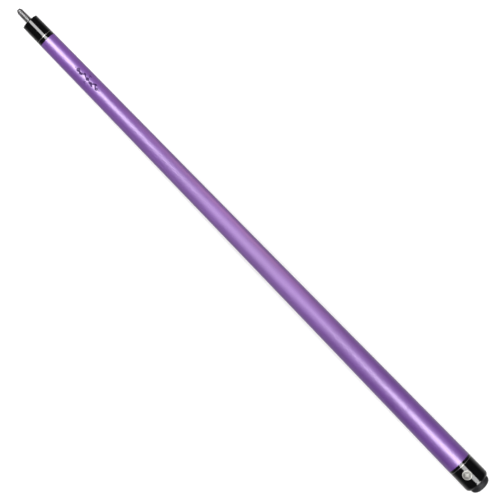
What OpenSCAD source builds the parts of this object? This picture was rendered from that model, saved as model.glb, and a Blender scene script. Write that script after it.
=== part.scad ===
// Butt half of a two-piece pool cue, lying along the X axis.
// The origin is the centre of the joint face. Stations are distances from that face along +X,
// towards the bumper, and the joint pin stands out of the face along -X.

/* [Stick] */
// Length from the joint face to the end of the bumper
butt_length = 736.6; // [700:0.1:760]
// Diameter of the stick at the joint face
joint_d = 20.6; // [19:0.1:22]
// Diameter of the stick at the butt cap
butt_d = 31.4; // [29:0.1:33]
// How far the middle of the stick lies below a straight taper
taper_sag = 0.5; // [0:0.05:0.8]
// Station where the forearm meets the handle
forearm_end = 318; // [300:1:330]
// Station where the handle meets the butt sleeve
handle_end = 610; // [590:1:615]

/* [Joint] */
// Major diameter of the joint pin's thread
pin_d = 7.94; // [6:0.01:9.6]
// How far the joint pin stands out of the joint face
pin_length = 18.5; // [14:0.5:25]
// Length of the cone at the joint pin's tip
pin_tip = 3.4; // [1:0.1:4]
// Diameter of the end of the joint pin that is set in the forearm
pin_root_d = 9.52; // [9:0.01:11]
// Depth of the joint pin in the forearm
pin_root_length = 38; // [25:1:60]
// Length of the joint collar
collar_length = 24; // [20:0.5:30]
// Radius of the joint collar's rounded front edge
collar_edge = 1.2; // [0.4:0.1:1.5]
// Length of the black trim ring behind the joint ring
joint_trim_length = 4.5; // [3:0.5:8]
// Diameter of the tenon that carries the collar and its rings
joint_tenon_d = 14; // [12.5:0.1:15]

/* [Handle fixing] */
// Length of the tenon that enters the forearm, and of the one that enters the butt sleeve
tenon_length = 25; // [20:1:40]
// Diameter of the handle's front tenon
front_tenon_d = 15; // [14:0.5:16]
// Diameter of the handle's rear tenon
rear_tenon_d = 18; // [16:0.5:20]
// Diameter of the screw that joins the handle to the forearm
joining_screw_d = 9.52; // [8:0.01:11]
// Length of that screw
joining_screw_length = 76; // [60:1:100]

/* [Butt cap] */
// Length of each silver ring
ring_length = 0.8; // [0.6:0.1:1.5]
// Length of the black trim ring in front of the butt ring
butt_trim_length = 3; // [2:0.5:6]
// Length of the butt cap
cap_length = 28.1; // [24:0.1:32]
// Radius of the arc that rounds the butt cap's rear edge
cap_edge_r = 5.25; // [4.5:0.05:6]
// Angle that this arc turns through
cap_edge_turn = 59; // [45:1:70]
// Diameter of the tenon that carries the butt cap and its rings
cap_tenon_d = 22; // [21:0.5:24]
// Length of the butt cap that the tenon fills
cap_tenon_depth = 10.9; // [9:0.1:12]

/* [Medallion] */
// Diameter of the medallion
medallion_d = 11.3; // [10:0.1:14]
// Distance of the medallion's centre behind the front of the butt cap
medallion_back = 11.1; // [9:0.1:12]
// Turn of the medallion round the stick, away from straight up
medallion_turn = 13; // [0:1:45]
// Depth of the medallion's pocket
medallion_depth = 0.9; // [0.6:0.1:1.2]
// How far the medallion stands above the butt cap
medallion_proud = 0.1; // [0:0.05:0.2]

/* [Weight bolt] */
// Diameter of the weight bolt
bolt_d = 12.7; // [9.5:0.1:12.7]
// Length of the weight bolt
bolt_length = 50.8; // [38:0.1:51]
// Width across the flats of the bolt's hexagon socket
bolt_socket = 6.35; // [5:0.05:8]
// Depth of that socket
bolt_socket_depth = 8; // [5:0.5:10]
// Solid wood between the handle's tenon and the bottom of the bolt's bore
bore_floor = 4; // [3:0.5:6]

/* [Bumper] */
// Diameter of the bumper where it meets the butt cap
bumper_d = 24.7; // [23:0.1:25]
// Length of the bumper's dome behind the butt cap
dome_length = 8.3; // [6:0.1:10]
// Fullness of the dome: 2 is an ellipse, more is squarer
dome_fullness = 2.5; // [2:0.1:4]
// Diameter of the flat at the bumper's end
bumper_flat_d = 6.4; // [4:0.1:10]
// Diameter of the bore that the bumper's stem pushes into
stem_bore_d = 15.4; // [14:0.1:17]
// Length of the bumper's stem
stem_length = 16; // [12:0.5:16]
// Number of ribs round the stem
rib_count = 3; // [2:1:4]
// Diameter of the hollow in the front of the stem
stem_hollow_d = 7; // [5:0.5:9]

/* [Hidden] */

glue = 0.05;             // gap between glued or screwed faces
run = 0.05;              // radial clearance of a running fit
end_gap = 0.2;           // gap at the end of a pocket
chamfer = 0.8;           // chamfer at the end of a screw
stick_steps = 8;         // cone stretches in one painted section
arc_steps = 8;           // steps in a rounded edge
dome_steps = 12;         // steps in the bumper's dome
thread_depth = 0.7;      // cut of the joining screw's plain middle below its threads
waist_share = 0.16;      // share of the joining screw's length that is plain
pin_tip_share = 0.5;     // share of the joint pin's radius at its tip
rib_height = 0.8;        // how far the stem's ribs stand out
rib_lead = 0.6;          // lead-in of the first rib, as a share of the ribs' pitch
rib_stations = [0, 0.3, 0.5, 0.6];  // foot, top, top and foot of a rib, as shares of that pitch
hollow_share = 0.75;     // share of the stem's length that is hollow
$fn = 96;

purple = [0.45, 0.28, 0.66];
black = [0.03, 0.03, 0.035];
silver = [0.78, 0.78, 0.76];
steel = [0.55, 0.55, 0.56];
rubber = [0.13, 0.13, 0.14];

// Stations
collar_end = collar_length;
joint_ring_end = collar_end + ring_length;
paint_start = joint_ring_end + joint_trim_length;
cap_end = butt_length - dome_length;
cap_start = cap_end - cap_length;
butt_ring_start = cap_start - ring_length;
paint_end = butt_ring_start - butt_trim_length;
cap_tenon_end = cap_start + cap_tenon_depth;
bore_start = handle_end + tenon_length + end_gap + bore_floor;
bolt_start = bore_start + end_gap;
stem_start = cap_end - stem_length;
medallion_at = cap_start + medallion_back;
cap_edge_start = cap_end - cap_edge_r * sin(cap_edge_turn);

// Radius of the stick's skin at a station
function skin_r(x) =
    let (share = x / cap_end)
    (joint_d + (butt_d - joint_d) * share) / 2 - taper_sag * 4 * share * (1 - share);

// Points of the skin, as [radius, station], from one station to another
function skin(from, to, steps = 1) =
    [for (i = [0:steps]) let (x = from + (to - from) * i / steps) [skin_r(x), x]];

// Solid of revolution about the X axis, from points of [radius, station]
module turned(points) {
    rotate([0, 90, 0]) rotate_extrude() polygon(points);
}

// Round bar along the X axis
module bar(from, to, d) {
    translate([from, 0, 0]) rotate([0, 90, 0]) cylinder(h = to - from, d = d);
}

// Round bar with a chamfer at each end
module screw_bar(from, to, d) {
    turned([
        [0, from], [d / 2 - chamfer, from], [d / 2, from + chamfer],
        [d / 2, to - chamfer], [d / 2 - chamfer, to], [0, to]
    ]);
}

// Ring whose outside follows the skin
module skin_ring(from, to, inner_d) {
    turned(concat([[inner_d / 2, from]], skin(from, to), [[inner_d / 2, to]]));
}

// Threaded pin that the other half of the cue screws onto, set in the forearm's tenon
module joint_pin() {
    r = pin_d / 2;
    root_r = pin_root_d / 2;
    color(steel) turned([
        [0, -pin_length], [r * pin_tip_share, -pin_length], [r, pin_tip - pin_length], [r, 0],
        [root_r, 0], [root_r, pin_root_length - chamfer],
        [root_r - chamfer, pin_root_length], [0, pin_root_length]
    ]);
}

// Collar with a rounded front edge
module joint_collar() {
    bore_r = joint_tenon_d / 2 + glue;
    top = skin_r(collar_edge);
    edge = [for (i = [0:arc_steps]) let (a = 90 * i / arc_steps)
        [top - collar_edge * (1 - sin(a)), collar_edge * (1 - cos(a))]];
    color(black) turned(concat(
        [[bore_r, 0]], edge, [[skin_r(collar_end), collar_end], [bore_r, collar_end]]
    ));
}

module joint_ring() {
    color(silver) skin_ring(collar_end, joint_ring_end, joint_tenon_d + 2 * glue);
}

module joint_trim_ring() {
    color(black) skin_ring(joint_ring_end, paint_start, joint_tenon_d + 2 * glue);
}

// Front section, with the tenon for the collar and the sockets for the pin and the handle
module forearm() {
    socket_start = forearm_end - tenon_length - end_gap;
    color(purple) difference() {
        turned(concat(
            [[0, 0], [joint_tenon_d / 2, 0], [joint_tenon_d / 2, paint_start]],
            skin(paint_start, forearm_end, stick_steps),
            [[0, forearm_end]]
        ));
        bar(-1, pin_root_length + end_gap, pin_root_d + 2 * glue);
        bar(socket_start, forearm_end + 1, front_tenon_d + 2 * glue);
        bar(joining_start() - end_gap, forearm_end, joining_screw_d + 2 * glue);
    }
}

// Station of the joining screw's front end: its middle is at the front of the handle's tenon
function joining_start() = forearm_end - tenon_length - joining_screw_length / 2;

// Double-ended screw with a plain waist between its threads
module joining_screw() {
    r = joining_screw_d / 2;
    waist_r = r - thread_depth;
    from = joining_start();
    to = from + joining_screw_length;
    middle = from + joining_screw_length / 2;
    waist_from = middle - joining_screw_length * waist_share / 2;
    waist_to = middle + joining_screw_length * waist_share / 2;
    color(steel) turned([
        [0, from], [r - chamfer, from], [r, from + chamfer], [r, waist_from],
        [waist_r, waist_from + thread_depth], [waist_r, waist_to - thread_depth], [r, waist_to],
        [r, to - chamfer], [r - chamfer, to], [0, to]
    ]);
}

// Middle section, with a tenon at each end
module handle() {
    front = forearm_end - tenon_length;
    rear = handle_end + tenon_length;
    color(purple) difference() {
        turned(concat(
            [[0, front], [front_tenon_d / 2, front], [front_tenon_d / 2, forearm_end]],
            skin(forearm_end, handle_end, stick_steps),
            [[rear_tenon_d / 2, handle_end], [rear_tenon_d / 2, rear], [0, rear]]
        ));
        bar(front - 1, joining_start() + joining_screw_length + end_gap, joining_screw_d + 2 * glue);
    }
}

// Rear section, with the socket for the handle, the bolt's bore and the tenon for the butt cap
module butt_sleeve() {
    color(purple) difference() {
        turned(concat(
            [[0, handle_end]],
            skin(handle_end, paint_end, stick_steps / 2),
            [[cap_tenon_d / 2, paint_end], [cap_tenon_d / 2, cap_tenon_end], [0, cap_tenon_end]]
        ));
        bar(handle_end - 1, handle_end + tenon_length + end_gap, rear_tenon_d + 2 * glue);
        bar(bore_start, cap_tenon_end + 1, bolt_d + 2 * run);
    }
}

module butt_trim_ring() {
    color(black) skin_ring(paint_end, butt_ring_start, cap_tenon_d + 2 * glue);
}

module butt_ring() {
    color(silver) skin_ring(butt_ring_start, cap_start, cap_tenon_d + 2 * glue);
}

// Upright round bar over the medallion's place
module medallion_bar(d) {
    translate([medallion_at, 0, 0]) rotate([medallion_turn, 0, 0]) cylinder(h = butt_d, d = d);
}

// Band of the butt cap's skin, from a depth under it to a height over it
module cap_band(depth, height) {
    from = cap_start + 1;
    to = cap_edge_start - 1;
    turned([
        [skin_r(from) - depth, from], [skin_r(from) + height, from],
        [skin_r(to) + height, to], [skin_r(to) - depth, to]
    ]);
}

// Cap with a rounded rear edge, a counterbore for the tenon and a bore for the bumper's stem
module butt_cap() {
    top = skin_r(cap_edge_start);
    edge = [for (i = [0:arc_steps]) let (a = cap_edge_turn * i / arc_steps)
        [top - cap_edge_r * (1 - cos(a)), cap_edge_start + cap_edge_r * sin(a)]];
    tenon_r = cap_tenon_d / 2 + glue;
    color(black) difference() {
        turned(concat(
            [[tenon_r, cap_start], [skin_r(cap_start), cap_start]], edge,
            [[stem_bore_d / 2, cap_end], [stem_bore_d / 2, cap_tenon_end + glue],
             [tenon_r, cap_tenon_end + glue]]
        ));
        intersection() {
            cap_band(medallion_depth, 1);
            medallion_bar(medallion_d + 2 * glue);
        }
    }
}

// Round plate, curved like the butt cap
module medallion() {
    color(silver) intersection() {
        cap_band(medallion_depth - glue, medallion_proud);
        medallion_bar(medallion_d);
    }
}

// Threaded bolt with a hexagon socket towards the bumper
module weight_bolt() {
    to = bolt_start + bolt_length;
    color(steel) difference() {
        screw_bar(bolt_start, to, bolt_d);
        translate([to - bolt_socket_depth, 0, 0]) rotate([0, 90, 0])
            cylinder(h = bolt_socket_depth + 1, d = bolt_socket / cos(30), $fn = 6);
    }
}

// Domed head with a ribbed and hollow stem
module bumper() {
    head_r = bumper_d / 2;
    power = 2 / dome_fullness;
    dome_turn = acos(pow(bumper_flat_d / bumper_d, 1 / power));
    dome_axis = dome_length / pow(sin(dome_turn), power);
    dome = [for (i = [0:dome_steps]) let (a = dome_turn * i / dome_steps)
        [head_r * pow(cos(a), power), cap_end + dome_axis * pow(sin(a), power)]];
    rib_r = stem_bore_d / 2 - run;
    core_r = rib_r - rib_height;
    rib_pitch = stem_length / (rib_count + 1);
    ribs = [for (i = [0:rib_count - 1], p = [0:3])
        let (x = stem_start + rib_pitch * (i + rib_lead + rib_stations[p]))
        [p == 1 || p == 2 ? rib_r : core_r, x]];
    hollow_r = stem_hollow_d / 2;
    hollow_end = stem_start + stem_length * hollow_share;
    color(rubber) turned(concat(
        [[0, hollow_end], [hollow_r, hollow_end], [hollow_r, stem_start],
         [core_r - chamfer, stem_start], [core_r, stem_start + chamfer]],
        ribs,
        [[core_r, cap_end]],
        dome,
        [[0, butt_length]]
    ));
}

joint_pin();
joint_collar();
joint_ring();
joint_trim_ring();
forearm();
joining_screw();
handle();
butt_sleeve();
butt_trim_ring();
butt_ring();
butt_cap();
medallion();
weight_bolt();
bumper();
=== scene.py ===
"""Looks of a pool cue butt that lies on a pale floor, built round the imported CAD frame.

Stations are distances in metres from the joint face along +X. Radii are measured from the X axis.
"""
import math

import bmesh
import bpy
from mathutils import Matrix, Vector


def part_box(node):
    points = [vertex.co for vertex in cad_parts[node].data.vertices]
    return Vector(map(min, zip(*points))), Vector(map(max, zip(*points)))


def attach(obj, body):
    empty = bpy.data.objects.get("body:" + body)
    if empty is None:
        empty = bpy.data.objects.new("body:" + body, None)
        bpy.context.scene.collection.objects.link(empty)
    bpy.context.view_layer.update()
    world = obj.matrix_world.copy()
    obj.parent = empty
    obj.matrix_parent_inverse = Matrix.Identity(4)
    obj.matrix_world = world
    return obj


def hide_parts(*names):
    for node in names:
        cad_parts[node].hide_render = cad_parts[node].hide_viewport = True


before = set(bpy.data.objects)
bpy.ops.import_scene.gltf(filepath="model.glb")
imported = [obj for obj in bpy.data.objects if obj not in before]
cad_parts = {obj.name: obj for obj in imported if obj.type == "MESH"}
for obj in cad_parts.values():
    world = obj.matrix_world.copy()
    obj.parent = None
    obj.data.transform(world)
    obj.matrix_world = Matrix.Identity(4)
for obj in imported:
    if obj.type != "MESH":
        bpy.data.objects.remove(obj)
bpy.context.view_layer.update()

MM = 0.001
INCH = 0.0254
SEGMENTS = 192  # flats round a turned piece
THREAD_SEGMENTS = 72  # flats round a threaded piece
SHARP = math.radians(32)  # edges that turn more than this stay sharp
ON_AXIS = 1e-7  # a radius below this is on the axis


# ---------------------------------------------------------------- stations, read from the frame

def start_of(node):
    """Station where a CAD node starts."""
    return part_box(node)[0].x


def end_of(node):
    """Station where a CAD node ends."""
    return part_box(node)[1].x


def radius_of(node):
    """Largest radius of a CAD node."""
    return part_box(node)[1].y


JOINT_FACE = start_of("joint_collar")
COLLAR_END = end_of("joint_collar")
JOINT_RING_END = end_of("joint_ring")
PAINT_START = end_of("joint_trim_ring")
FOREARM_END = end_of("forearm")
HANDLE_END = start_of("butt_sleeve")
PAINT_END = start_of("butt_trim_ring")
BUTT_RING_START = start_of("butt_ring")
CAP_START = start_of("butt_cap")
CAP_END = end_of("butt_cap")
BUTT_END = end_of("bumper")
PIN_TIP = start_of("joint_pin")
PIN_ROOT_END = end_of("joint_pin")
BOLT_START = start_of("weight_bolt")
BOLT_END = end_of("weight_bolt")
SCREW_START = start_of("joining_screw")
SCREW_END = end_of("joining_screw")
HANDLE_FRONT = start_of("handle")
HANDLE_REAR = end_of("handle")
CAP_TENON_END = end_of("butt_sleeve")
STEM_START = start_of("bumper")
SCREW_R = radius_of("joining_screw")
BOLT_R = radius_of("weight_bolt")
BUMPER_R = radius_of("bumper")

# (station, radius) at three places on the stick's outside
KNOWN_RADII = (
    (COLLAR_END, radius_of("joint_collar")),
    (FOREARM_END, radius_of("forearm")),
    (PAINT_END, radius_of("butt_sleeve")),
)


def skin_radius(x):
    """Radius of the stick's slightly hollow taper: the parabola through three of its known radii."""
    total = 0.0
    for i, (xi, ri) in enumerate(KNOWN_RADII):
        share = 1.0
        for j, (xj, _) in enumerate(KNOWN_RADII):
            if j != i:
                share *= (x - xj) / (xi - xj)
        total += ri * share
    return total


# Sizes that no node's box gives, as in the CAD source
GLUE = 0.05 * MM  # gap round a tenon
END_GAP = 0.2 * MM  # gap at the bottom of a socket
JOINT_TENON_R = 7.0 * MM
FRONT_TENON_R = 7.5 * MM
REAR_TENON_R = 9.0 * MM
CAP_TENON_R = 11.0 * MM
PIN_ROOT_R = 4.76 * MM
PIN_R = 3.97 * MM
PIN_CONE = 3.4 * MM
PIN_TIP_SHARE = 0.5
COLLAR_EDGE_R = 1.2 * MM
CAP_EDGE_R = 5.25 * MM
CAP_EDGE_TURN = math.radians(59)
CAP_EDGE_START = CAP_END - CAP_EDGE_R * math.sin(CAP_EDGE_TURN)
STEM_BORE_R = 7.7 * MM
STEM_HOLLOW_R = 3.5 * MM
RIBS = 3
BUMPER_FLAT_R = 3.2 * MM
DOME_FULLNESS = 2.5
BORE_FLOOR = HANDLE_REAR + 4.2 * MM
KEY_ACROSS = 6.35 * MM
KEY_DEPTH = 8 * MM

# Thread form, as (share of the pitch, share of the depth)
THREAD_FORM = ((0.0, 0), (0.125, 0), (0.4375, 1), (0.6875, 1))
THREAD_DEPTH = 0.54  # of the pitch

# Edges eased on turned pieces
EASE_RING = 0.05 * MM
EASE_COLLAR = 0.06 * MM
EASE_WOOD = 0.08 * MM
EASE_STEEL = 0.5 * MM
EASE_RUBBER = 0.2 * MM


# ---------------------------------------------------------------- mesh helpers

def finished(name, mesh, body, node, materials):
    """Makes the object of a finished mesh, in place of its CAD node."""
    mesh.validate()
    for polygon in mesh.polygons:
        polygon.use_smooth = True
    mesh.set_sharp_from_angle(angle=SHARP)
    piece = bpy.data.objects.new(name, mesh)
    bpy.context.scene.collection.objects.link(piece)
    for material in materials:
        mesh.materials.append(material)
    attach(piece, body)
    if node:
        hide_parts(node)
    return piece


def outward(mesh):
    """Turns every face outwards and welds doubled points."""
    bm = bmesh.new()
    bm.from_mesh(mesh)
    bmesh.ops.remove_doubles(bm, verts=bm.verts, dist=1e-7)
    bmesh.ops.dissolve_degenerate(bm, dist=1e-8, edges=bm.edges)
    bmesh.ops.recalc_face_normals(bm, faces=bm.faces)
    bm.to_mesh(mesh)
    bm.free()
    return mesh


def turned_mesh(name, outline, segments=SEGMENTS):
    """Solid of revolution about X, from a closed outline of (station, radius)."""
    points, rings = [], []
    for x, r in outline:
        if r < ON_AXIS:
            rings.append([len(points)])
            points.append((x, 0, 0))
            continue
        rings.append(range(len(points), len(points) + segments))
        for k in range(segments):
            a = 2 * math.pi * k / segments
            points.append((x, r * math.cos(a), r * math.sin(a)))
    faces = []
    for ring, after in zip(rings, rings[1:] + rings[:1]):
        for k in range(segments):
            k2 = (k + 1) % segments
            corners = [ring[k % len(ring)], ring[k2 % len(ring)]]
            corners += [after[k2 % len(after)], after[k % len(after)]]
            corners = list(dict.fromkeys(corners))
            if len(corners) > 2:
                faces.append(corners)
    mesh = bpy.data.meshes.new(name)
    mesh.from_pydata(points, [], faces)
    return outward(mesh)


def eased(outline, size, steps=4, least_turn=math.radians(20), share=0.4):
    """The closed outline with its corners rounded off over about size. A corner takes no more than a share of
    each side that meets in it, and slight corners stay."""
    out = []
    count = len(outline)
    for i, point in enumerate(outline):
        p = Vector(point)
        back = Vector(outline[i - 1]) - p
        on = Vector(outline[(i + 1) % count]) - p
        turn = math.pi - back.angle(on, math.pi)
        if p.y < ON_AXIS or turn < least_turn:
            out.append(tuple(p))
            continue
        a = p + back.normalized() * min(size, share * back.length)
        b = p + on.normalized() * min(size, share * on.length)
        for k in range(steps + 1):
            t = k / steps
            out.append(tuple(a * (1 - t) ** 2 + p * 2 * t * (1 - t) + b * t ** 2))
    return out


def skin(start, end, steps):
    """Points of the stick's outside from one station to another."""
    return [(x, skin_radius(x)) for x in (start + (end - start) * i / steps for i in range(steps + 1))]


def threaded_mesh(name, start, end, radius, pitch, envelope, segments=THREAD_SEGMENTS):
    """Right-handed thread between two stations, cut off by an envelope radius(x), with closed ends."""
    depth = THREAD_DEPTH * pitch
    turns = math.ceil((end - start) / pitch) + 1
    rows = [(n + phase, radius - share * depth) for n in range(-1, turns) for phase, share in THREAD_FORM]
    points = []
    for k in range(segments + 1):
        turn = k / segments
        a = 2 * math.pi * turn
        for at, r in rows:
            x = min(max(start + pitch * (at + turn), start), end)
            r = min(r, envelope(x))
            points.append((x, r * math.cos(a), r * math.sin(a)))
    count = len(rows)
    faces = []
    for k in range(segments):
        for j in range(count - 1):
            a = k * count + j
            faces.append((a, a + 1, a + count + 1, a + count))
    for x, j in ((start, 0), (end, count - 1)):
        centre = len(points)
        points.append((x, 0, 0))
        for k in range(segments):
            faces.append((centre, k * count + j, (k + 1) * count + j))
    mesh = bpy.data.meshes.new(name)
    mesh.from_pydata(points, [], faces)
    return outward(mesh)


def joined(mesh, other):
    """Adds another mesh's shells to a mesh."""
    bm = bmesh.new()
    bm.from_mesh(mesh)
    bm.from_mesh(other)
    bm.to_mesh(mesh)
    bm.free()
    bpy.data.meshes.remove(other)
    return mesh


def arc(start, top, radius, turn, steps):
    """Points of an arc that leaves the top at a station and turns in towards the axis."""
    angles = [turn * k / steps for k in range(1, steps + 1)]
    return [(start + radius * math.sin(a), top - radius * (1 - math.cos(a))) for a in angles]


def bare_wood(piece, depth=0.3 * MM):
    """Gives the second material to every face that lies deeper than depth under the painted skin."""
    for polygon in piece.data.polygons:
        x, y, z = polygon.center
        under = skin_radius(x) - math.hypot(y, z)
        if under > depth or x < PAINT_START - depth or x > PAINT_END + depth:
            polygon.material_index = 1


# ---------------------------------------------------------------- materials

class Paint:
    """A procedural material: a Principled shader and what feeds it, in object coordinates in metres."""

    def __init__(self, name, **sockets):
        self.material = bpy.data.materials.new(name)
        self.material.use_nodes = True
        self.tree = self.material.node_tree
        self.shader = self.tree.nodes["Principled BSDF"]
        for socket, value in sockets.items():
            self.shader.inputs[socket.replace("_", " ")].default_value = value
        self.place = self.tree.nodes.new("ShaderNodeTexCoord").outputs["Object"]

    def node(self, kind, inputs=(), **settings):
        """A new node, with its inputs linked to sockets or set to values."""
        made = self.tree.nodes.new("ShaderNode" + kind)
        for key, value in settings.items():
            setattr(made, key, value)
        for key, value in dict(inputs).items():
            if isinstance(value, bpy.types.NodeSocket):
                self.tree.links.new(value, made.inputs[key])
            else:
                made.inputs[key].default_value = value
        return made

    def stretched(self, scale):
        """The place, scaled along each axis."""
        return self.node("Mapping", {"Vector": self.place, "Scale": scale}).outputs["Vector"]

    def noise(self, scale, detail=3.0, roughness=0.5, stretch=(1, 1, 1)):
        """Cloudy noise, finer as scale rises."""
        inputs = {"Vector": self.stretched(stretch), "Scale": scale}
        inputs.update({"Detail": detail, "Roughness": roughness})
        return self.node("TexNoise", inputs).outputs["Fac"]

    def ramp(self, factor, low, high, a, b):
        """Maps factor from low..high to a..b, which are numbers."""
        inputs = {"Value": factor, "From Min": low, "From Max": high, "To Min": a, "To Max": b}
        return self.node("MapRange", inputs).outputs["Result"]

    def mix(self, factor, a, b):
        """Mixes two colours."""
        made = self.node("Mix", data_type="RGBA")
        for socket, value in ((made.inputs[0], factor), (made.inputs[6], a), (made.inputs[7], b)):
            if isinstance(value, bpy.types.NodeSocket):
                self.tree.links.new(value, socket)
            elif socket.type == "RGBA":
                socket.default_value = (*value, 1)
            else:
                socket.default_value = value
        return made.outputs[2]

    def maths(self, operation, a, b=0.0):
        """One sum on two values."""
        made = self.node("Math", operation=operation)
        for socket, value in zip(made.inputs, (a, b)):
            if isinstance(value, bpy.types.NodeSocket):
                self.tree.links.new(value, socket)
            else:
                socket.default_value = value
        return made.outputs[0]

    def axis_distance(self):
        """Distance from the X axis."""
        flat = self.stretched((0, 1, 1))
        return self.node("VectorMath", {0: flat}, operation="LENGTH").outputs["Value"]

    def feed(self, socket, value):
        self.tree.links.new(value, self.shader.inputs[socket])

    def bump(self, height, strength, distance):
        inputs = {"Height": height, "Strength": strength, "Distance": distance}
        return self.node("Bump", inputs).outputs["Normal"]


def purple_paint():
    """Pearl purple: fine flake under a satin skin that reflects pink-white, with faint clouds and peel."""
    pink_white = (0.92, 0.78, 1.0, 1)
    p = Paint("purple_pearl", Metallic=0.1, IOR=1.8, Specular_IOR_Level=0.9, Specular_Tint=pink_white)
    cloud = p.noise(28, detail=4)
    flake = p.node("TexVoronoi", {"Vector": p.place, "Scale": 3200.0}).outputs["Color"]
    sparkle = p.node("SeparateColor", {"Color": flake}).outputs[0]
    deep, bright = (0.046, 0.0105, 0.104), (0.091, 0.023, 0.192)
    tone = p.ramp(cloud, 0.3, 0.7, 0.35, 0.6)
    tone = p.maths("ADD", tone, p.ramp(sparkle, 0, 1, -0.2, 0.2))
    p.feed("Base Color", p.mix(tone, deep, bright))
    p.feed("Roughness", p.ramp(cloud, 0.3, 0.7, 0.41, 0.43))
    peel = p.noise(550, detail=2)
    p.feed("Normal", p.bump(peel, 0.02, 0.02 * MM))
    return p.material


def polished_black():
    """Polished black phenolic, with faint turning marks and a little haze."""
    p = Paint("polished_black", Base_Color=(0.001, 0.001, 0.0012, 1), IOR=1.46)
    haze = p.noise(160, detail=5)
    p.feed("Roughness", p.ramp(haze, 0.35, 0.75, 0.04, 0.11))
    marks = p.noise(900, detail=2, stretch=(8, 0.6, 0.6))
    p.feed("Normal", p.bump(marks, 0.02, 0.01 * MM))
    return p.material


def nickel_silver():
    """Ring metal: bright, with fine turning lines round the stick."""
    p = Paint("nickel_silver", Base_Color=(0.2, 0.197, 0.187, 1), Metallic=1.0)
    lines = p.noise(2500, detail=3, stretch=(12, 0.5, 0.5))
    p.feed("Roughness", p.ramp(lines, 0.3, 0.7, 0.3, 0.4))
    p.feed("Normal", p.bump(lines, 0.1, 0.01 * MM))
    return p.material


def threaded_steel(name, crest_roughness, root_r, crest_r, bright, dull):
    """Steel thread: lighter crests, and darker roots that are painted shade in the thread's hollows."""
    p = Paint(name, Metallic=1.0)
    # Lighter towards the crests, darker towards the roots: painted shade in the thread's hollows
    height = p.ramp(p.axis_distance(), root_r, crest_r, 0, 1)
    stain = p.ramp(p.noise(420, detail=4), 0.35, 0.7, 0.75, 1.0)
    height = p.maths("MULTIPLY", height, stain)
    root_roughness = 0.42
    p.feed("Base Color", p.mix(height, dull, bright))
    p.feed("Roughness", p.ramp(height, 0, 1, root_roughness, crest_roughness))
    return p.material


def maple():
    """Bare maple: pale, with year rings, short flecks and pores along the grain."""
    p = Paint("bare_maple", Specular_IOR_Level=0.35)
    board = p.stretched((0.6, 34, 150))
    warp = p.noise(60, detail=3, stretch=(0.2, 1, 1))
    grain = p.node("TexWave", {"Vector": board, "Scale": 5.0, "Distortion": 3.0, "Detail": 3.0})
    pores = p.noise(2600, detail=2, stretch=(0.06, 1, 1))
    tone = p.ramp(grain.outputs["Fac"], 0, 1, 0.5, 1.0)
    tone = p.maths("MULTIPLY", tone, p.ramp(warp, 0.3, 0.7, 0.7, 1.0))
    tone = p.maths("MULTIPLY", tone, p.ramp(pores, 0.3, 0.5, 0.7, 1.0))
    line, board_colour = (0.36, 0.20, 0.09), (0.72, 0.52, 0.30)
    p.feed("Base Color", p.mix(tone, line, board_colour))
    p.feed("Roughness", p.ramp(pores, 0.3, 0.6, 0.75, 0.55))
    p.feed("Normal", p.bump(pores, 0.2, 0.03 * MM))
    return p.material


def black_rubber():
    """Moulded rubber: matte charcoal with a fine grain and a faint grey bloom."""
    p = Paint("black_rubber", Specular_IOR_Level=0.15)
    bloom = p.noise(120, detail=5, roughness=0.65)
    grain = p.noise(3500, detail=3)
    charcoal, grey = (0.005, 0.005, 0.006), (0.012, 0.0125, 0.0145)
    p.feed("Base Color", p.mix(p.ramp(bloom, 0.35, 0.7, 0, 1), charcoal, grey))
    p.feed("Roughness", p.ramp(bloom, 0.35, 0.7, 0.5, 0.68))
    p.feed("Normal", p.bump(grain, 0.25, 0.03 * MM))
    return p.material


def medallion_metal():
    """Stamped pale metal, brushed one way."""
    p = Paint("stamped_silver", Metallic=1.0)
    brush = p.noise(1800, detail=3, stretch=(0.15, 1, 1))
    dull, bright = (0.24, 0.24, 0.222), (0.30, 0.30, 0.278)
    p.feed("Base Color", p.mix(p.ramp(brush, 0.3, 0.7, 0, 1), dull, bright))
    p.feed("Roughness", p.ramp(brush, 0.3, 0.7, 0.55, 0.65))
    p.feed("Normal", p.bump(brush, 0.08, 0.01 * MM))
    return p.material


def medallion_recess():
    """Darkened ground between the raised parts of the medallion."""
    p = Paint("antiqued_recess", Metallic=1.0)
    pit = p.noise(4200, detail=2)
    dark, worn = (0.10, 0.10, 0.093), (0.15, 0.15, 0.139)
    p.feed("Base Color", p.mix(p.ramp(pit, 0.3, 0.7, 0, 1), dark, worn))
    p.feed("Roughness", p.ramp(pit, 0.3, 0.7, 0.6, 0.7))
    p.feed("Normal", p.bump(pit, 0.4, 0.03 * MM))
    return p.material


def ornament_ink():
    """Dark print under the coat."""
    p = Paint("dark_print", Specular_IOR_Level=0.05)
    speck = p.noise(2400, detail=3)
    full, thin = (0.02, 0.008, 0.04), (0.04, 0.016, 0.075)
    p.feed("Base Color", p.mix(p.ramp(speck, 0.35, 0.7, 0, 1), full, thin))
    p.feed("Roughness", p.ramp(speck, 0.3, 0.7, 0.4, 0.55))
    return p.material


PURPLE = purple_paint()
BLACK = polished_black()
SILVER = nickel_silver()
MAPLE = maple()
RUBBER = black_rubber()
# Thread colours, crest then root: the darker root colour is painted shade in the thread's hollows
PIN_STEEL = threaded_steel("pin_steel", 0.55, 3.2 * MM, PIN_R, (0.29, 0.29, 0.293), (0.19, 0.19, 0.192))
ZINC, SHADED_ROOT = (0.45, 0.45, 0.46), (0.15, 0.15, 0.15)
SCREW_STEEL = threaded_steel("screw_steel", 0.32, 4.0 * MM, SCREW_R, ZINC, SHADED_ROOT)
BOLT_STEEL = threaded_steel("bolt_steel", 0.32, 5.3 * MM, BOLT_R, ZINC, SHADED_ROOT)
MEDAL = medallion_metal()
RECESS = medallion_recess()
INK = ornament_ink()


# ---------------------------------------------------------------- joint

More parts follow.
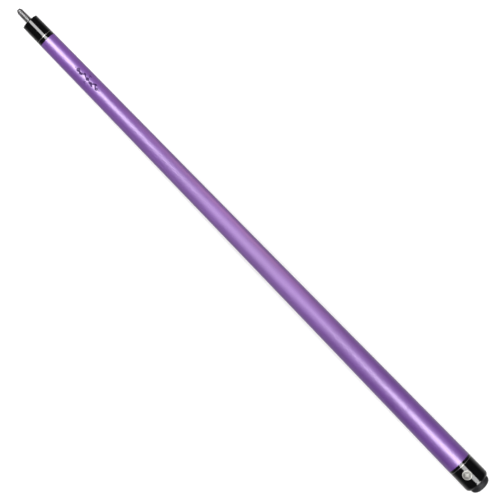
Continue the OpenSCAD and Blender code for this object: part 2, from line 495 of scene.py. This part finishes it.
def joint_pin():
    """5/16-18 pin with a coned tip, on a smooth root set in the forearm."""
    pitch = INCH / 18

    def envelope(x):
        share = PIN_TIP_SHARE + (1 - PIN_TIP_SHARE) * (x - PIN_TIP) / PIN_CONE
        return min(PIN_R, PIN_R * share)

    mesh = threaded_mesh("joint_pin_finished", PIN_TIP, JOINT_FACE, PIN_R, pitch, envelope)
    root = [(JOINT_FACE, 0), (JOINT_FACE, PIN_ROOT_R), (PIN_ROOT_END, PIN_ROOT_R), (PIN_ROOT_END, 0)]
    joined(mesh, turned_mesh("root", eased(root, EASE_STEEL), THREAD_SEGMENTS))
    finished("joint_pin_finished", mesh, "butt", "joint_pin", [PIN_STEEL])


def ring(name, node, start, end, inner, ease, slot, material, front_round=0.0, steps=8):
    """A ring or collar whose outside follows the taper, and whose front edge can be rounded."""
    outline = [(start, inner)]
    if front_round:
        top = skin_radius(start + front_round)
        for k in range(steps + 1):
            a = math.radians(90) * k / steps
            x = start + front_round * (1 - math.cos(a))
            outline.append((x, top - front_round * (1 - math.sin(a))))
    else:
        outline.append((start, skin_radius(start)))
    outline += [(end, skin_radius(end)), (end, inner)]
    mesh = turned_mesh(name, eased(outline, ease))
    finished(name, mesh, "butt", node, [material])


def joint_rings():
    inner = JOINT_TENON_R + GLUE
    ring("joint_collar_finished", "joint_collar", JOINT_FACE, COLLAR_END, inner, EASE_COLLAR,
         "collar_black", BLACK, front_round=COLLAR_EDGE_R)
    ring("joint_ring_finished", "joint_ring", COLLAR_END, JOINT_RING_END, inner, EASE_RING,
         "ring_silver", SILVER)
    ring("joint_trim_ring_finished", "joint_trim_ring", JOINT_RING_END, PAINT_START, inner, EASE_COLLAR,
         "collar_black", BLACK)


# ---------------------------------------------------------------- wood

def forearm():
    """Front section, with a tenon under the collar and rings, the pin's hole and a socket for the handle."""
    pin_hole = PIN_ROOT_R + GLUE
    socket = FRONT_TENON_R + GLUE
    screw_hole = SCREW_R + GLUE
    hole_end = PIN_ROOT_END + END_GAP
    socket_end = HANDLE_FRONT - END_GAP
    screw_hole_end = SCREW_START - END_GAP
    outline = [(JOINT_FACE, pin_hole), (JOINT_FACE, JOINT_TENON_R), (PAINT_START, JOINT_TENON_R)]
    outline += skin(PAINT_START, FOREARM_END, steps=40)
    outline += [(FOREARM_END, socket), (socket_end, socket), (socket_end, screw_hole)]
    outline += [(screw_hole_end, screw_hole), (screw_hole_end, 0), (hole_end, 0), (hole_end, pin_hole)]
    mesh = turned_mesh("forearm_finished", eased(outline, EASE_WOOD))
    piece = finished("forearm_finished", mesh, "butt", "forearm", [PURPLE, MAPLE])
    bare_wood(piece)


def handle():
    """Middle section, with a tenon at each end and a hole for the joining screw."""
    screw_hole = SCREW_R + GLUE
    hole_end = SCREW_END + END_GAP
    outline = [(HANDLE_FRONT, screw_hole), (HANDLE_FRONT, FRONT_TENON_R), (FOREARM_END, FRONT_TENON_R)]
    outline += skin(FOREARM_END, HANDLE_END, steps=40)
    outline += [(HANDLE_END, REAR_TENON_R), (HANDLE_REAR, REAR_TENON_R), (HANDLE_REAR, 0)]
    outline += [(hole_end, 0), (hole_end, screw_hole)]
    mesh = turned_mesh("handle_finished", outline)
    piece = finished("handle_finished", mesh, "butt", "handle", [PURPLE, MAPLE])
    bare_wood(piece)


def butt_sleeve():
    """Rear section, with a socket for the handle, a tenon for the butt cap and the weight bolt's bore."""
    socket = REAR_TENON_R + GLUE
    socket_end = HANDLE_REAR + END_GAP
    bore = BOLT_R + GLUE
    outline = [(HANDLE_END, socket)]
    outline += skin(HANDLE_END, PAINT_END, steps=16)
    outline += [(PAINT_END, CAP_TENON_R), (CAP_TENON_END, CAP_TENON_R), (CAP_TENON_END, bore)]
    outline += [(BORE_FLOOR, bore), (BORE_FLOOR, 0), (socket_end, 0), (socket_end, socket)]
    mesh = turned_mesh("butt_sleeve_finished", eased(outline, EASE_WOOD))
    piece = finished("butt_sleeve_finished", mesh, "butt", "butt_sleeve", [PURPLE, MAPLE])
    bare_wood(piece)


def joining_screw():
    """3/8-16 double-ended screw with a plain waist."""
    pitch = INCH / 16
    middle = (SCREW_START + SCREW_END) / 2
    half_waist = 0.08 * (SCREW_END - SCREW_START)
    chamfer, waist_depth = 0.8 * MM, 0.7 * MM

    def envelope(x):
        end = SCREW_R - chamfer + min(x - SCREW_START, SCREW_END - x)
        waist = SCREW_R - waist_depth + max(0.0, abs(x - middle) - half_waist)
        return min(SCREW_R, end, waist)

    mesh = threaded_mesh("joining_screw_finished", SCREW_START, SCREW_END, SCREW_R, pitch, envelope)
    finished("joining_screw_finished", mesh, "butt", "joining_screw", [SCREW_STEEL])


# ---------------------------------------------------------------- butt

def butt_rings():
    inner = CAP_TENON_R + GLUE
    ring("butt_trim_ring_finished", "butt_trim_ring", PAINT_END, BUTT_RING_START, inner, EASE_COLLAR,
         "collar_black", BLACK)
    ring("butt_ring_finished", "butt_ring", BUTT_RING_START, CAP_START, inner, EASE_RING,
         "ring_silver", SILVER)


def butt_cap():
    """Black cap with a rounded rear edge, over the butt sleeve's tenon and the bumper's stem."""
    tenon = CAP_TENON_R + GLUE
    tenon_end = CAP_TENON_END + GLUE
    outline = [(CAP_START, tenon)] + skin(CAP_START, CAP_EDGE_START, steps=6)
    outline += arc(CAP_EDGE_START, skin_radius(CAP_EDGE_START), CAP_EDGE_R, CAP_EDGE_TURN, 16)
    outline += [(CAP_END, STEM_BORE_R), (tenon_end, STEM_BORE_R), (tenon_end, tenon)]
    mesh = turned_mesh("butt_cap_finished", eased(outline, EASE_RING))
    finished("butt_cap_finished", mesh, "butt", "butt_cap", [BLACK])


def smooth_step(low, high, x):
    """Rises smoothly from 0 at low to 1 at high."""
    t = min(max((x - low) / (high - low), 0.0), 1.0)
    return t * t * (3 - 2 * t)


# The medallion's relief. Distances are shares of its radius, and heights are shares of the relief.
RIM_RISES, RIM_FALLS, RIM_FALL = (0.86, 0.90), (0.95, 1.0), 0.5
BEADS, BEAD_RING, BEAD_SIZE, BEAD_HEIGHT = 24, 0.775, 0.05, 0.7
STAR_POINTS = ((0.0, 0.66), (math.pi / 4, 0.42))  # two sets of four: (turn, length)
STAR_WIDTH, STAR_EDGE, STAR_BLUNT = 0.17, 0.35, 0.1
RAISED = 0.05  # a face with all its corners below this is recess


def medallion_relief(rho, phi):
    """Height of the relief at a distance and an angle from the medallion's centre: a rim, a ring of beads
    and an eight-pointed star."""
    rim = smooth_step(*RIM_RISES, rho) * (1 - RIM_FALL * smooth_step(*RIM_FALLS, rho))
    bead_turn = (phi * BEADS / (2 * math.pi)) % 1 - 0.5
    bead_aside = bead_turn * 2 * math.pi / BEADS * BEAD_RING
    bead = math.hypot(rho - BEAD_RING, bead_aside) / BEAD_SIZE
    beads = BEAD_HEIGHT * math.sqrt(max(0.0, 1 - bead * bead))
    star = 0.0
    for points_at, length in STAR_POINTS:
        swing = abs((phi - points_at + math.pi / 4) % (math.pi / 2) - math.pi / 4)
        along, aside = rho * math.cos(swing), rho * math.sin(swing)
        width = STAR_WIDTH * (1 - along / length)
        if along < length and aside < width:
            slope = (1 - aside / width) * min(1.0, width / STAR_BLUNT)
            star = max(star, STAR_EDGE + (1 - STAR_EDGE) * slope)
    return max(rim, beads, star)


def medallion():
    """Round plate bent to the butt cap, with its relief in the mesh and a darker metal in its recesses."""
    low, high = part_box("medallion")
    centre_x = (low.x + high.x) / 2
    plate_r = (high.x - low.x) / 2
    cap_r = skin_radius(centre_x)
    turn = math.asin(-(low.y + high.y) / 2 / (cap_r * math.cos(plate_r / cap_r)))
    ground, relief = 0.03 * MM, 0.09 * MM
    under = 0.7 * MM
    rings, spokes = 64, 288
    points, raised = [], []

    def place(rho, phi, height):
        x = centre_x + plate_r * rho * math.cos(phi)
        r = skin_radius(x) + height
        a = turn + plate_r * rho * math.sin(phi) / skin_radius(x)
        return (x, -r * math.sin(a), r * math.cos(a))

    def add(rho, phi, height, share):
        points.append(place(rho, phi, height))
        raised.append(share)

    add(0, 0, ground + relief, 1.0)
    for i in range(1, rings + 1):
        for k in range(spokes):
            rho, phi = i / rings, 2 * math.pi * k / spokes
            share = medallion_relief(rho, phi)
            add(rho, phi, ground + relief * share, share)
    rim_start = 1 + (rings - 1) * spokes
    bottom_start = len(points)
    for k in range(spokes):
        add(1, 2 * math.pi * k / spokes, -under, 1.0)
    bottom_centre = len(points)
    add(0, 0, -under, 1.0)
    faces = []
    for k in range(spokes):
        k2 = (k + 1) % spokes
        faces.append((0, 1 + k, 1 + k2))
        for i in range(rings - 1):
            a = 1 + i * spokes
            faces.append((a + k, a + spokes + k, a + spokes + k2, a + k2))
        faces.append((rim_start + k, bottom_start + k, bottom_start + k2, rim_start + k2))
        faces.append((bottom_start + k, bottom_centre, bottom_start + k2))
    mesh = bpy.data.meshes.new("medallion_finished")
    mesh.from_pydata(points, [], faces)
    piece = finished("medallion_finished", mesh, "butt", "medallion", [MEDAL, RECESS])
    for polygon in mesh.polygons:
        if max(raised[v] for v in polygon.vertices) < RAISED:
            polygon.material_index = 1


def weight_bolt():
    """1/2-13 bolt with a hexagon socket in its rear end."""
    pitch = INCH / 13
    chamfer, past_end = 0.8 * MM, 1 * MM
    corner_r = KEY_ACROSS / 2 / math.cos(math.radians(30))

    def envelope(x):
        return min(BOLT_R, BOLT_R - chamfer + min(x - BOLT_START, BOLT_END - x))

    mesh = threaded_mesh("weight_bolt_finished", BOLT_START, BOLT_END, BOLT_R, pitch, envelope)
    cutter_outline = [(BOLT_END - KEY_DEPTH, 0), (BOLT_END - KEY_DEPTH, corner_r)]
    cutter_outline += [(BOLT_END + past_end, corner_r), (BOLT_END + past_end, 0)]
    cutter = bpy.data.objects.new("socket_cutter", turned_mesh("socket_cutter", cutter_outline, 6))
    bolt = bpy.data.objects.new("bolt_blank", mesh)
    for o in (cutter, bolt):
        bpy.context.scene.collection.objects.link(o)
    cut = bolt.modifiers.new("socket", "BOOLEAN")
    cut.object, cut.operation, cut.solver = cutter, "DIFFERENCE", "EXACT"
    bpy.context.view_layer.update()
    shaped = bpy.data.meshes.new_from_object(bolt.evaluated_get(bpy.context.evaluated_depsgraph_get()))
    shaped.materials.clear()
    bpy.data.objects.remove(bolt)
    bpy.data.objects.remove(cutter)
    finished("weight_bolt_finished", shaped, "weight_bolt", "weight_bolt", [BOLT_STEEL])


def bumper():
    """Domed rubber head with a small moulded dimple, on a ribbed hollow stem."""
    power = 2 / DOME_FULLNESS
    turn = math.acos((BUMPER_FLAT_R / BUMPER_R) ** (1 / power))
    dome_axis = (BUTT_END - CAP_END) / math.sin(turn) ** power
    rib_r = STEM_BORE_R - GLUE
    rib_height = 0.8 * MM
    core_r = rib_r - rib_height
    stem = CAP_END - STEM_START
    rib_pitch = stem / (RIBS + 1)
    hollow_end = STEM_START + 0.75 * stem
    outline = [(hollow_end, 0), (hollow_end, STEM_HOLLOW_R), (STEM_START, STEM_HOLLOW_R)]
    outline += [(STEM_START, core_r - rib_height), (STEM_START + rib_height, core_r)]
    for i in range(RIBS):
        for share, r in ((0.6, core_r), (0.9, rib_r), (1.1, rib_r), (1.2, core_r)):
            outline.append((STEM_START + rib_pitch * (i + share), r))
    head_inset, steps = 0.25 * MM, 40
    outline += [(CAP_END, core_r), (CAP_END, BUMPER_R - head_inset)]
    for k in range(2, steps + 1):
        a = turn * k / steps
        outline.append((CAP_END + dome_axis * math.sin(a) ** power, BUMPER_R * math.cos(a) ** power))
    dimple_depth, dimple_r, dimple_floor_r = 0.5 * MM, 1.7 * MM, 1.3 * MM
    dimple_floor = BUTT_END - dimple_depth
    outline += [(BUTT_END, dimple_r), (dimple_floor, dimple_floor_r), (dimple_floor, 0)]
    mesh = turned_mesh("bumper_finished", eased(outline, EASE_RUBBER))
    finished("bumper_finished", mesh, "bumper", "bumper", [RUBBER])


# ---------------------------------------------------------------- printed ornament

ORNAMENT_AT = 93.5 * MM  # station of its centre
ORNAMENT_LIFT = -1.2 * MM  # how far round the stick its centre is from the top
PRINT_TOP = 0.03 * MM
PRINT_UNDER = 0.05 * MM
PRINT_STEP = 0.0004 * MM


class Print:
    """Flat strokes that lie on the forearm's skin. A point of a stroke is (along, across) in millimetres:
    along the stick and round the stick, from the ornament's centre."""

    def __init__(self):
        self.points, self.faces, self.level = [], [], 0

    def on_skin(self, along, across, height):
        x = ORNAMENT_AT + along * MM
        r = skin_radius(x) + height
        a = (ORNAMENT_LIFT + across * MM) / skin_radius(x)
        return (x, -r * math.sin(a), r * math.cos(a))

    def stroke(self, path, widths):
        """A closed flat stroke, a little higher than the last, so that no two tops coincide."""
        first, count = len(self.points), len(path)
        self.level += 1
        top = PRINT_TOP + PRINT_STEP * self.level
        for i, (p, width) in enumerate(zip(path, widths)):
            after, before = path[min(i + 1, count - 1)], path[max(i - 1, 0)]
            way = Vector((after[0] - before[0], after[1] - before[1])).normalized()
            side = Vector((-way.y, way.x)) * width / 2
            section = [(1, -PRINT_UNDER)] + [(share, top) for share in (1, 0.5, 0, -0.5, -1)]
            section.append((-1, -PRINT_UNDER))
            for share, height in section:
                self.points.append(self.on_skin(p[0] + share * side.x, p[1] + share * side.y, height))
        size = len(section)
        for i in range(count - 1):
            a = first + size * i
            for k in range(size):
                k2 = (k + 1) % size
                self.faces.append((a + k, a + k2, a + size + k2, a + size + k))
        last = first + size * (count - 1)
        self.faces.append(tuple(range(first, first + size)))
        self.faces.append(tuple(range(last + size - 1, last - 1, -1)))

    def lozenge(self, centre, half_length, half_width, steps=8, blunt=0.02):
        """A lozenge with slightly blunt ends."""
        shares = [2 * i / steps - 1 for i in range(steps + 1)]
        path = [(centre[0] + half_length * share, centre[1]) for share in shares]
        self.stroke(path, [2 * half_width * (1 + blunt - abs(share)) for share in shares])

    def leaf(self, root, heading, bend, length=4.2, width=2.0, tip=0.12, swell=0.8, steps=10):
        """A curved leaf that swells before its middle and narrows to a tip."""
        path = [root]
        for i in range(steps):
            turn = heading + bend * i / steps
            path.append(step_on(path[-1], turn, length / steps))
        shares = [(i / steps) ** swell for i in range(steps + 1)]
        self.stroke(path, [tip + width * math.sin(math.pi * share) for share in shares])


def step_on(point, heading, length):
    """The point a step away from another."""
    return (point[0] + length * math.cos(heading), point[1] + length * math.sin(heading))


def leafy_wave(ink, side):
    """A wave that leaves the ornament's middle towards one side, curls up and carries four leaves."""
    wave_from, wave_to, height, turns, steps = 3.0, 15.0, 1.7, 1.25, 48
    path = []
    for i in range(steps + 1):
        share = i / steps
        along = wave_from + (wave_to - wave_from) * share
        path.append((side * along, side * height * math.sin(2 * math.pi * turns * share)))
    curl_steps, curl_step, slow_turn, tightening = 30, 0.228, math.radians(6), math.radians(15)
    heading = 0.0 if side > 0 else math.pi
    for i in range(curl_steps):
        heading -= slow_turn + tightening * i / curl_steps
        path.append(step_on(path[-1], heading, curl_step))
    thin, swell, first_phase = 0.6, 1.0, 0.2
    phases = [first_phase + (1 - first_phase) * i / (len(path) - 1) for i in range(len(path))]
    ink.stroke(path, [thin + swell * math.sin(math.pi * min(1.0, phase)) for phase in phases])
    lean = 1.1
    for share, up in ((0.1, -1), (0.32, 1), (0.55, -1), (0.8, 1)):
        ink.leaf(path[round(share * steps)], math.atan2(up, side * lean), bend=-up * side * lean)


def ornament():
    """Printed scrollwork on the forearm: a lozenge between two leafy waves, and smaller lozenges."""
    ink = Print()
    for side in (-1, 1):
        leafy_wave(ink, side)
        ink.lozenge((side * 18.6, 0), 1.0, 0.7)
    ink.lozenge((0, 0), 2.9, 2.2)
    for up in (-1, 1):
        ink.lozenge((0, 3.7 * up), 0.8, 0.8)
        ink.lozenge((0, 5.3 * up), 3.0, 0.5)
    mesh = bpy.data.meshes.new("forearm_ornament")
    mesh.from_pydata(ink.points, [], ink.faces)
    finished("forearm_ornament", outward(mesh), "butt", None, [INK])


# ---------------------------------------------------------------- stage, light and camera

FRONT_LOW = Vector((JOINT_FACE, 0, -skin_radius(JOINT_FACE)))
REAR_LOW = Vector((CAP_EDGE_START, 0, -skin_radius(CAP_EDGE_START)))
MIDDLE = (FRONT_LOW + REAR_LOW) / 2
FLOOR_HALF = 150.0
FLOOR_ALBEDO = (0.25, 0.25, 0.25, 1)
FLOOR_GLOW = 0.52  # under the lamps
LAMP_REACH = 0.9  # distance at which the lamps' light on the floor falls to a quarter
LAMP_HEIGHT = 0.55
BACKDROP = 0.93  # how pale the backdrop and the far floor are
HORIZON = 0.06  # how pale a reflection is that looks level or upwards, past the lamps
FULLY_DOWN = -0.8  # height on the world's sphere where a reflection is as pale as the backdrop


def floor():
    """A wide pale floor that touches the collar and the butt cap. Away from the lamps it glows as much as
    their light falls off, so that it is as pale everywhere. Reflections see the world in its place."""
    slope = math.atan2(FRONT_LOW.z - REAR_LOW.z, REAR_LOW.x - FRONT_LOW.x)
    mesh = bpy.data.meshes.new("floor")
    corners = [(x * FLOOR_HALF, y * FLOOR_HALF, 0) for x, y in ((-1, -1), (1, -1), (1, 1), (-1, 1))]
    mesh.from_pydata(corners, [], [(0, 1, 2, 3)])
    plane = bpy.data.objects.new("floor", mesh)
    bpy.context.scene.collection.objects.link(plane)
    plane.location = MIDDLE
    plane.rotation_euler = (0, slope, 0)
    plane.visible_glossy = False
    p = Paint("pale_floor", Base_Color=FLOOR_ALBEDO, Roughness=0.9, Specular_IOR_Level=0.0)
    p.shader.inputs["Emission Color"].default_value = (1, 1, 1, 1)
    away = p.node("VectorMath", {0: p.place}, operation="LENGTH").outputs["Value"]
    spread = p.maths("ADD", p.maths("POWER", p.maths("DIVIDE", away, LAMP_REACH), 2.0), 1.0)
    lit = p.maths("POWER", spread, -2.0)
    p.feed("Emission Strength", p.ramp(lit, 0, 1, BACKDROP, FLOOR_GLOW))
    mesh.materials.append(p.material)


def softbox(name, centre, size, radiance, tilt=0.0, roll=0.0):
    """A lamp that faces down, rolled about X or tilted about Y, and isn't seen by the camera."""
    lamp = bpy.data.lights.new(name, "AREA")
    lamp.shape = "RECTANGLE"
    lamp.size, lamp.size_y = size
    lamp.energy = radiance * math.pi * size[0] * size[1]
    o = bpy.data.objects.new(name, lamp)
    bpy.context.scene.collection.objects.link(o)
    o.location = centre
    o.rotation_euler = (roll, tilt, 0)
    o.visible_camera = False
    return o


def strip(name, x_range, angles, radiance):
    """A softbox over part of the stick, between two angles from straight up towards +Y."""
    left, right = (LAMP_HEIGHT * math.tan(math.radians(a)) for a in angles)
    centre = (sum(x_range) / 2, (left + right) / 2, LAMP_HEIGHT)
    return softbox(name, centre, (x_range[1] - x_range[0], right - left), radiance)


def side_lamp(side, size, radiance, colour):
    """A lamp low beside the middle of the stick, towards +Y or -Y as side is 1 or -1. It shows only in
    reflections."""
    station, distance = 0.3, 0.6
    centre = (station, side * distance, size[1] / 2)
    lamp = softbox("softbox_side", centre, size, radiance, roll=-side * math.radians(90))
    lamp.data.color = colour
    lamp.visible_diffuse = False


def end_lamp(end, radiance=5.0):
    """A high lamp beyond one end of the stick, +X or -X as end is 1 or -1, that faces its middle."""
    centre = (MIDDLE.x + end * 2.0, 0, 1.5)
    softbox("softbox_low", centre, (0.9, 0.7), radiance, tilt=end * math.radians(50))


def upright_lamp(radiance):
    """A lamp that stands beyond the butt and shows only in reflections, round the butt cap's edge."""
    station, width = 1.07, 0.16
    centre = (station, 0, LAMP_HEIGHT / 2)
    size = (LAMP_HEIGHT, width)
    lamp = softbox("softbox_upright", centre, size, radiance, tilt=math.radians(90))
    lamp.visible_diffuse = False


def lamps():
    """A strip close over each end of the stick and a dim wide one over its middle, a high lamp beyond each
    end, an upright one beyond the butt, and a faint one low on each side."""
    strip("softbox_joint", (-0.5, 0.105), (-12.5, 19), 14.5)
    strip("softbox_butt", (0.62, 1.07), (-15, 17), 12.4)
    middle = strip("softbox_middle", (0.24, 0.48), (-60, 60), 3.5)
    middle.data.color = (1.0, 0.91, 1.0)
    end_lamp(-1)
    end_lamp(1)
    upright_lamp(12.4)
    side_lamp(1, (0.3, 0.24), 4.6, (1.0, 0.66, 0.62))
    side_lamp(-1, (0.4, 0.1), 3.0, (1.0, 0.85, 0.95))


def backdrop():
    """The world. The camera sees it evenly pale. Other rays see it dim above the horizon and paler the
    further down they look, as a pale floor would be."""
    world = bpy.data.worlds.new("studio")
    bpy.context.scene.world = world
    world.use_nodes = True
    nodes, links = world.node_tree.nodes, world.node_tree.links
    seen = nodes.new("ShaderNodeBackground")
    seen.inputs["Color"].default_value = (BACKDROP, BACKDROP, BACKDROP, 1)
    unseen = nodes["Background"]
    place = nodes.new("ShaderNodeTexCoord")
    split = nodes.new("ShaderNodeSeparateXYZ")
    pale = nodes.new("ShaderNodeMapRange")
    links.new(place.outputs["Generated"], split.inputs[0])
    links.new(split.outputs["Z"], pale.inputs["Value"])
    pale.inputs["From Min"].default_value = 0.0
    pale.inputs["From Max"].default_value = FULLY_DOWN
    pale.inputs["To Min"].default_value = HORIZON
    pale.inputs["To Max"].default_value = BACKDROP
    links.new(pale.outputs["Result"], unseen.inputs["Color"])
    path = nodes.new("ShaderNodeLightPath")
    mix = nodes.new("ShaderNodeMixShader")
    links.new(path.outputs["Is Camera Ray"], mix.inputs[0])
    links.new(unseen.outputs[0], mix.inputs[1])
    links.new(seen.outputs[0], mix.inputs[2])
    links.new(mix.outputs[0], nodes["World Output"].inputs["Surface"])


def camera():
    """Straight above the middle of the stick, turned so that the stick runs down to the right."""
    above = Vector((359.3 * MM, -1.6 * MM, 2.5))
    turn = math.radians(45.8)
    frame_width = 0.5658  # what the picture spans at the height of the stick's axis
    lens = bpy.data.cameras.new("camera")
    lens.lens = lens.sensor_width * above.z / frame_width
    lens.clip_start, lens.clip_end = 0.05, 500
    o = bpy.data.objects.new("camera", lens)
    bpy.context.scene.collection.objects.link(o)
    o.location = above
    o.rotation_euler = (0, 0, turn)
    bpy.context.scene.camera = o


joint_pin()
joint_rings()
forearm()
handle()
butt_sleeve()
joining_screw()
butt_rings()
butt_cap()
medallion()
weight_bolt()
bumper()
ornament()
floor()
lamps()
backdrop()
camera()
bpy.context.scene.view_settings.view_transform = "Standard"
